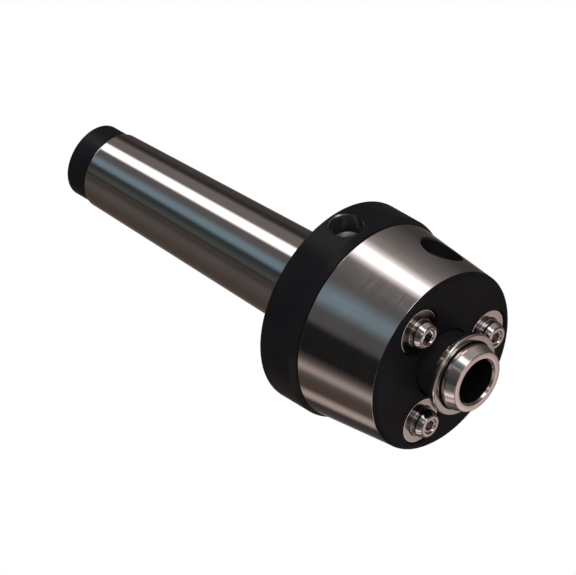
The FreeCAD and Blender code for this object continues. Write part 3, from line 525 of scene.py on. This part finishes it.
def taper_radius(x):
    """Radius of the Morse 4 taper in mm at a place along the axis."""
    return 31.267 / 2 + 0.05194 / 2 * x


ground_taper = metal("ground_taper", (0.55, 0.545, 0.54), (0.61, 0.605, 0.60), (0.05, 0.10), depth=0.03)
shank = turned(
    "taper_shank_ground",
    [
        (-99.2, taper_radius(-98.2) - 0.7),
        (-98.2, taper_radius(-98.2), 0.25),
        (9.5, taper_radius(9.5)),
        (9.5, 19.4),
        (10.1, 20),
        (18.2, 20),
        (18.2, 18.8),
        (19.9, 18.8),
        (19.9, 28.5),
        (27, 28.5),
        (27, 11.25),
        (14.5, 11.25),
        (14.5, 7.4),
        (-38, 7.4),
        (-38, 6.05),
        (-64, 6.05),
        (-64, 7.2),
        (-84, 7.2),
        (-84, 10),
        (-99.2, 10),
    ],
    256,
)
finished(shank, ground_taper)
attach(shank, "housing")
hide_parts("taper_shank")


# Rear end bush: turned steel, chemically blackened, screwed into the small end of the taper.
# Its bore has the thread for the drawbar.
def blackened(name, base, rough, rings=2500.0, depth=0.015, shine=0.1):
    """Black oxide on turned steel, dark rubber, or a near-black painted shade or reflection: a thin satin
    skin of one colour in two tones.
    """
    tones = [[part * share for part in base] for share in (0.8, 1.25)]
    finish, surface = tool_marked(name, tones, rough, "Cloud", rings, depth)
    surface.inputs["Specular IOR Level"].default_value = shine
    return finish


black_oxide = blackened("black_oxide", (0.0080, 0.0077, 0.0094), (0.28, 0.38))
bush = turned(
    "rear_end_bush_blackened",
    [
        (-107.3, 8.9),
        (-107.3, 12.5, 0.6),
        (-99.2, 12.5),
        (-99.2, 9.95),
        (-84.2, 9.95),
        (-84.2, 8.05),
        (-106.45, 8.05),
    ],
    192,
)

# The drawbar's thread: its pitch in mm and how many turns of it are made
THREAD_PITCH = 2.0
THREAD_TURNS = 10

thread = drawn("drawbar_thread", [(-105.9, 8.3), (-104.25, 8.3), (-104.95, 6.92), (-105.2, 6.92)])
bpy.ops.object.mode_set(mode="OBJECT")
winding = thread.modifiers.new("winding", "SCREW")
winding.axis = "X"
winding.screw_offset = THREAD_PITCH
winding.iterations = THREAD_TURNS
winding.steps = 72
winding.render_steps = 72
bpy.ops.object.modifier_apply(modifier=winding.name)
bush.select_set(True)
bpy.context.view_layer.objects.active = bush
bpy.ops.object.join()
bpy.ops.object.mode_set(mode="EDIT")
bpy.ops.mesh.select_all(action="SELECT")
# caps on the thread's two ends
bpy.ops.mesh.fill_holes(sides=4)
bpy.ops.mesh.select_all(action="SELECT")
bpy.ops.mesh.normals_make_consistent(inside=False)
bpy.ops.object.mode_set(mode="OBJECT")
finished(bush, black_oxide)
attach(bush, "housing")
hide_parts("rear_end_bush")


# Draw-off nut: a wide ring turned from steel and blackened, with blind drilled holes for a pin spanner.
# It screws on the shank's collar and presses the driver out of the spindle.
def cut(piece, cutter):
    """Take the cutter's shape out of a piece."""
    pick(piece)
    taken = piece.modifiers.new("cut", "BOOLEAN")
    taken.object = cutter
    taken.operation = "DIFFERENCE"
    taken.solver = "EXACT"
    bpy.ops.object.modifier_apply(modifier=taken.name)
    bpy.data.objects.remove(cutter)


def copied(piece, name, spot=(0, 0)):
    """A copy of a piece with its own mesh, moved from the axis to a spot in mm."""
    pick(piece)
    bpy.ops.object.duplicate(linked=False)
    copy = bpy.context.object
    copy.name = name
    copy.location = (0, spot[0], spot[1])
    bpy.ops.object.transform_apply()
    return copy


def out_of_axis(degrees):
    """The direction that leaves the axis at an angle from +Y towards +Z."""
    return Vector((0, math.cos(math.radians(degrees)), math.sin(math.radians(degrees))))


def pointed_out(piece, place, degrees):
    """Turn a drill drawn along +X so that it comes out of the axis, at a place along it in mm."""
    pick(piece)
    piece.rotation_mode = "QUATERNION"
    piece.rotation_quaternion = Vector((1, 0, 0)).rotation_difference(out_of_axis(degrees))
    piece.location = (place, 0, 0)
    bpy.ops.object.transform_apply()


# Radii in mm: the holes are further out than the first, and their floors further in than the second
PAST_THE_BORE = 15
UNDER_THE_SKIN = 28


def drilled_faces(piece, place, degrees, size):
    """The faces that a drill of some radius left in a finished piece, with how far out each lies in mm."""
    out = out_of_axis(degrees)
    for face in piece.data.polygons:
        middle = face.center * 1000 - Vector((place, 0, 0))
        reach = middle.dot(out)
        off = (middle - out * reach).length
        outward = face.normal.dot(Vector((0, middle.y, middle.z)).normalized())
        in_the_drill = off < size and reach > PAST_THE_BORE
        on_the_skin = outward >= 0.9 and reach >= UNDER_THE_SKIN
        if in_the_drill and not on_the_skin:
            yield face, reach


# The spanner holes' place along the axis in mm, their angles, and where their rubbed edge begins
SPANNER_ROW = 11.4
SPANNER_HOLES = (93, 273)
RUBBED_FROM = 34.13

nut = turned(
    "draw_off_nut_blackened",
    [
        (4.5, 24.04),
        (4.5, 34.55, 0.5),
        (17.5, 34.55, 0.3),
        (19.6, 33.4, 0.3),
        (19.6, 20.85),
        (18.8, 20.05),
        (9.35, 20.05),
        (9.35, 24.04),
        (5.9, 24.04),
        (5.9, 25.0),
        (4.75, 25.0),
        (4.75, 24.04),
    ],
    360,
)
spanner_drill = turned(
    "spanner_drill",
    [(24.95, 0), (27.35, 5.45), (34.12, 5.45), (36, 7.33), (36, 0)],
    96,
)
for degrees in SPANNER_HOLES:
    drill = copied(spanner_drill, "spanner_hole")
    pointed_out(drill, SPANNER_ROW, degrees)
    cut(nut, drill)
bpy.data.objects.remove(spanner_drill)
drilled = metal(
    "drilled_steel", (0.13, 0.13, 0.134), (0.30, 0.30, 0.305), (0.1, 0.2), depth=0.12, shiny=0.9
)
rubbed_edge = metal("rubbed_edge", (0.22, 0.22, 0.22), (0.36, 0.355, 0.35), (0.2, 0.3))
finished(nut, black_oxide, drilled, rubbed_edge)
for degrees in SPANNER_HOLES:
    for face, reach in drilled_faces(nut, SPANNER_ROW, degrees, size=6.1):
        face.material_index = 2 if reach > RUBBED_FROM else 1
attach(nut, "nut")
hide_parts("draw_off_nut")


# Head: hardened steel, ground to a slim cone, with a counterbored port for the oil plug.
# The pins' cylinders and the oil gallery are inside.

# The port's place along the axis in mm, and its angle
PORT_ROW = 35.7
PORT_ANGLE = 60

ground_head = metal("ground_head", (0.54, 0.53, 0.52), (0.62, 0.61, 0.60), (0.09, 0.15))
head = turned(
    "head_housing_ground",
    [
        (19.9, 28.55),
        (19.9, 33.35, 0.3),
        (49.6, 30.5, 0.15),
        (49.6, 28.85),
        (44.6, 28.85),
        (44.6, 11.55),
        (40, 11.55),
        (40, 11.2),
        (27, 11.2),
        (27, 16),
        (28.4, 16),
        (28.4, 18.6),
        (27, 18.6),
        (27, 28.55),
    ],
    360,
)
port = turned(
    "port_drill",
    [(17, 0), (17, 5.05), (24, 5.05), (24, 7.3), (32, 7.3), (34, 9.3), (34, 0)],
    128,
)
pointed_out(port, PORT_ROW, PORT_ANGLE)
cut(head, port)
# Near-black for the port's walls and floor: painted shade inside the port
painted_shade_port = blackened("painted_shade_port", (0.0075, 0.0082, 0.0082), (0.3, 0.4), shine=0.4)
finished(head, ground_head, painted_shade_port)
# The port's faces get the painted shade
for face, _ in drilled_faces(head, PORT_ROW, PORT_ANGLE, size=8.5):
    face.material_index = 1
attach(head, "housing")
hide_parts("head_housing")


# Front plate: a disc turned from steel and blackened, screwed into the head by its spigot.
# Three recesses hold the discs of the pin bushes, and the sleeve's neck passes its middle.

# How far the three pins are from the axis in mm, and their places round it
PINS_FROM_AXIS = 20.2
PIN_PLACES = [
    (PINS_FROM_AXIS * math.cos(math.radians(turn)), PINS_FROM_AXIS * math.sin(math.radians(turn)))
    for turn in (0, 120, 240)
]

plate = turned(
    "front_plate_blackened",
    [
        (44.6, 11.55),
        (44.6, 28.8),
        (49.6, 28.8),
        (49.6, 30.5),
        (49.8, 30.5, 0.15),
        (50.8, 29.5, 0.2),
        (50.8, 11.55, 0.2),
    ],
    360,
)
reamer = turned(
    "recess_reamer",
    [(44, 0), (44, 6.92), (48.6, 6.92), (48.6, 8.0), (50.5, 8.0), (51.2, 8.7), (51.2, 0)],
    128,
)
for spot in PIN_PLACES:
    cut(plate, copied(reamer, "recess", spot))
bpy.data.objects.remove(reamer)
plate_black = blackened(
    "plate_black", (0.0092, 0.0084, 0.0100), (0.3, 0.4), rings=1800.0, depth=0.03, shine=0.03
)
finished(plate, plate_black)
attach(plate, "housing")
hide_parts("front_plate")


# Pin bushes: guide bushes of hardened steel, whose lapped discs show round the pins.
# They are pressed into the plate. Their discs are painted darker by different amounts, as painted shade,
# and their rims are painted brighter, as a painted highlight.

# How light each disc is painted: a lower number paints more shade on it
DISC_SHADE_TONES = (0.74, 0.40, 0.64)

# A much lighter metal for the discs' outer rims: a painted highlight
painted_highlight_rim = metal("painted_highlight_rim", (0.86, 0.82, 0.80), (0.94, 0.90, 0.88), (0.08, 0.14))
disc = turned(
    "pin_bush",
    [
        (37.8, 5.04),
        (37.8, 6.9, 0.3),
        (48.6, 6.9),
        (48.6, 7.85),
        (50.35, 7.85, 0.45),
        (50.35, 5.3, 0.12),
        (50.05, 5.04),
    ],
    128,
)
# Each disc's two tones are scaled down by its painted shade
for number, (spot, tone) in enumerate(zip(PIN_PLACES, DISC_SHADE_TONES), 1):
    bush_finish = metal(
        f"lapped_disc_{number}",
        [part * tone for part in (0.60, 0.56, 0.55)],
        [part * tone for part in (0.72, 0.68, 0.66)],
        (0.10, 0.2),
        rings=6000.0,
        depth=0.04,
        axis=spot,
    )
    lapped = copied(disc, f"pin_bush_{number}_lapped", spot)
    finished(lapped, bush_finish, painted_highlight_rim)
    for face in lapped.data.polygons:
        middle = face.center * 1000
        # The outer rim's faces get the painted highlight
        on_outer_rim = 49.91 < middle.x < 50.34 and math.dist(middle.yz, spot) > 7
        if on_outer_rim:
            face.material_index = 1
    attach(lapped, "housing")
    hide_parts(f"pin_bush_{number}")
bpy.data.objects.remove(disc)


# Drive pins: ground pins of hardened steel, with a piston at the back and a conical driving nose.
# A groove sets off the nose, and the tip has a hexagon socket for pulling the pin.
pin = turned(
    "drive_pin",
    [
        (31.6, 0),
        (31.6, 6.5, 0.3),
        (33.2, 6.5),
        (33.2, 5.28),
        (34.9, 5.28),
        (34.9, 6.5),
        (36.1, 6.5),
        (36.1, 5),
        (51.1, 5, 0.3),
        (51.1, 4.45),
        (51.45, 4.45),
        (51.55, 4.75, 0.1),
        (52.85, 4.75, 0.5),
        (54.75, 3.75, 0.45),
        (54.75, 2.7, 0.15),
        (54.25, 2.2),
        (54.25, 0),
    ],
    128,
)
# The socket's width across its flats in mm
ACROSS_FLATS = 3.5

bpy.ops.object.select_all(action="DESELECT")
bpy.ops.mesh.primitive_cylinder_add(
    vertices=6,
    radius=ACROSS_FLATS / 2 / math.cos(math.radians(30)),
    depth=6,
    location=(54.1, 0, 0),
    rotation=(0, math.radians(90), 0),
)
cut(pin, bpy.context.object)
for number, spot in enumerate(PIN_PLACES, 1):
    pin_finish = metal(
        f"hardened_pin_{number}",
        (0.52, 0.49, 0.48),
        (0.66, 0.62, 0.61),
        (0.05, 0.11),
        rings=5000.0,
        depth=0.03,
        axis=spot,
    )
    ground = copied(pin, f"drive_pin_{number}_ground", spot)
    finished(ground, pin_finish)
    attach(ground, f"pin_{number}")
    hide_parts(f"drive_pin_{number}")
bpy.data.objects.remove(pin)


# Centre sleeve: turned from steel, hardened and polished, with a rounded flange and a bevelled nose.
# It slides in the bronze bush and takes an exchangeable centre in its bore.
# Its bore and undercut are painted near-black as painted shade, its neck is painted near-black as the
# painted reflection of the black plate, and the flange's face is painted darker as painted shade.
polished = metal(
    "polished_sleeve", (0.60, 0.55, 0.53), (0.72, 0.67, 0.645), (0.1, 0.18), rings=5000.0, depth=0.03
)
sleeve = turned(
    "centre_sleeve_polished",
    [
        (20, 3.2),
        (20, 9, 0.3),
        (21.35, 9),
        (21.35, 8.3),
        (22.65, 8.3),
        (22.65, 9),
        (45.5, 9),
        (45.5, 11.2, 0.3),
        (57.6, 11.2),
        (57.6, 13.9, 0.6),
        (60.1, 13.9, 0.6),
        (60.1, 11.85),
        (59.7, 11.7),
        (59.7, 10.8),
        (60.5, 10.8),
        (60.5, 11.3, 0.2),
        (62, 11.3, 0.3),
        (65.4, 10.25, 0.3),
        (65.4, 8.15, 0.1),
        (64.75, 7.5),
        (41, 7.5),
        (41, 3.2),
    ],
    256,
)
bpy.ops.object.select_all(action="DESELECT")
bpy.ops.mesh.primitive_cube_add(size=1, location=(34, -11.1, 0), scale=(9.4, 7.8, 4.08))
key_slot = bpy.context.object
cut(sleeve, key_slot)
# Near-black for the bore: painted shade inside it
painted_shade_bore = blackened("painted_shade_bore", (0.004, 0.004, 0.0045), (0.45, 0.6))
# Near-black for the neck, as the painted reflection of the black plate, and for the undercut, as painted
# shade
painted_shade_and_reflection = blackened("painted_shade_and_reflection", (0.012, 0.011, 0.0125), (0.4, 0.5), shine=0.05)
# A darker copy of the polished steel for the flange's face: painted shade
painted_shade_flange_face = metal(
    "painted_shade_flange_face", (0.42, 0.38, 0.36), (0.50, 0.46, 0.44), (0.12, 0.2), rings=5000.0, depth=0.03
)
finished(sleeve, polished, painted_shade_bore, painted_shade_and_reflection, painted_shade_flange_face)
for face in sleeve.data.polygons:
    middle = face.center * 1000
    radius = math.hypot(middle.y, middle.z)
    in_bore = radius < 7.55 and 40.5 < middle.x < 64.6
    on_neck = 11.1 < radius < 11.2 and 45.9 < middle.x < 57.6
    in_undercut = 10.7 < radius < 11.8 and 59.6 < middle.x < 60.4
    on_flange_face = 11.8 < radius < 13.4 and 60.05 < middle.x < 60.15 and face.normal.x > 0.95
    # The bore's faces get the painted shade
    if in_bore:
        face.material_index = 1
    # Neck: painted reflection of the plate; undercut: painted shade
    if on_neck or in_undercut:
        face.material_index = 2
    # The flange's face gets the painted shade
    if on_flange_face:
        face.material_index = 3
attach(sleeve, "centre")
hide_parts("centre_sleeve")


# Centre spring: steel wire wound cold in eight turns, held between the preload screw and the button.
# Its coils close up as the sleeve is pushed back; here it is wound once between the two ends that model.glb
# gives it.

# The spring's two ends in mm along the axis, its wire and coils in mm, and how many they are
spring_back, spring_front = (corner.x * 1000 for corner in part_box("centre_spring"))
WIRE = 2
MEAN_RADIUS = 5.3
TURNS = 8

bpy.ops.object.select_all(action="DESELECT")
bpy.ops.mesh.primitive_circle_add(
    vertices=20,
    radius=WIRE / 2,
    location=(spring_back + WIRE / 2, 0, MEAN_RADIUS),
    rotation=(math.radians(90), 0, 0),
)
spring = bpy.context.object
spring.name = "centre_spring_wound"
bpy.ops.object.transform_apply()
winding = spring.modifiers.new("winding", "SCREW")
winding.axis = "X"
winding.screw_offset = (spring_front - spring_back - WIRE) / TURNS
winding.iterations = TURNS
winding.steps = 64
winding.render_steps = 64
bpy.ops.object.modifier_apply(modifier=winding.name)
bpy.ops.object.mode_set(mode="EDIT")
bpy.ops.mesh.select_all(action="SELECT")
# caps on the wire's two ends
bpy.ops.mesh.fill_holes(sides=0)
bpy.ops.mesh.select_all(action="SELECT")
bpy.ops.mesh.normals_make_consistent(inside=False)
bpy.ops.object.mode_set(mode="OBJECT")
spring_wire = metal("spring_wire", (0.22, 0.22, 0.23), (0.3, 0.3, 0.31), (0.3, 0.4))
finished(spring, spring_wire)
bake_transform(spring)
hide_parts("centre_spring")


# Inner pieces: bush, keys, rings, screws and seals that show only when the driver is apart.
# They keep their turned and milled shapes, and get the finish of their own metal or rubber.
inner_steel = metal("turned_inner_steel", (0.34, 0.33, 0.33), (0.45, 0.44, 0.43), (0.28, 0.4))
blackened_screws = blackened("blackened_screws", (0.014, 0.014, 0.015), (0.35, 0.45))
seal_rubber = blackened("seal_rubber", (0.012, 0.012, 0.012), (0.5, 0.65))
for finish, names in (
    (metal("bored_bronze", (0.50, 0.30, 0.12), (0.62, 0.42, 0.2), (0.25, 0.35)), ["centre_guide_bush"]),
    (inner_steel, ["thrust_ring", "thrust_key_pin", "slide_key", "spring_button", "flange_dowels"]),
    (spring_wire, ["sleeve_stop_ring", "thrust_snap_ring"]),
    (blackened_screws, ["preload_screw", "lock_screw", "flange_screws", "filler_plug"]),
    (seal_rubber, ["piston_seal_1", "piston_seal_2", "piston_seal_3", "gallery_seals"]),
    (metal("soft_copper", (0.6, 0.32, 0.22), (0.72, 0.4, 0.28), (0.3, 0.42)), ["plug_washer"]),
):
    for name in names:
        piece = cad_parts[name]
        piece.data.materials.clear()
        piece.data.materials.append(finish)
